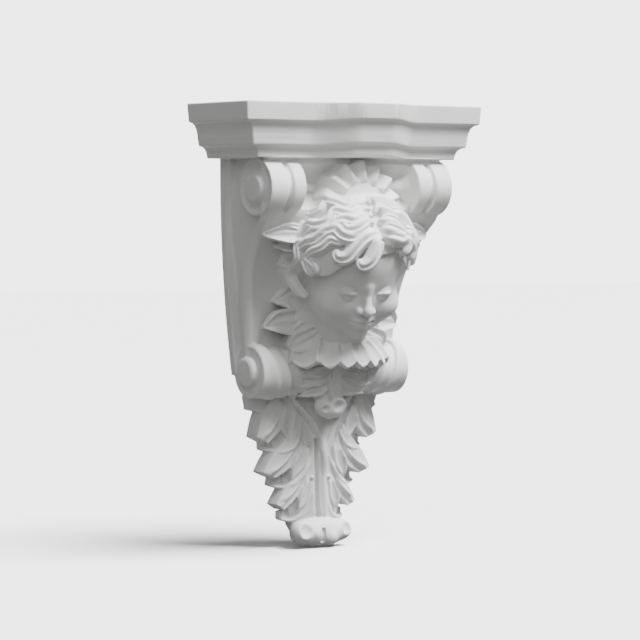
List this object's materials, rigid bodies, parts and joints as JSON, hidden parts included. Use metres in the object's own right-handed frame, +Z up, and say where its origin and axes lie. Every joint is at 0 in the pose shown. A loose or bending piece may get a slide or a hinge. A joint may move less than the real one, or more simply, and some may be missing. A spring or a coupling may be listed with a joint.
{
  "type": "wall corbel",
  "caption": "Cast plaster wall corbel: moulded serpentine shelf, scrolled console with a child's head under a shell, and an acanthus pendant.",
  "frame": {"origin": "on the flat back, which lies against the wall, on its vertical centre line and 300 mm above the tip of the pendant", "axes": "+Z up, +Y into the wall, -Y to the front, +X to the right as seen from the front"},
  "size_m": [0.324, 0.1708, 0.4997],
  "materials": {
    "plaster": "matt cast plaster, soft edges"
  },
  "bodies": {
    "root": {"corbel": "plaster"}
  },
  "joints": []
}
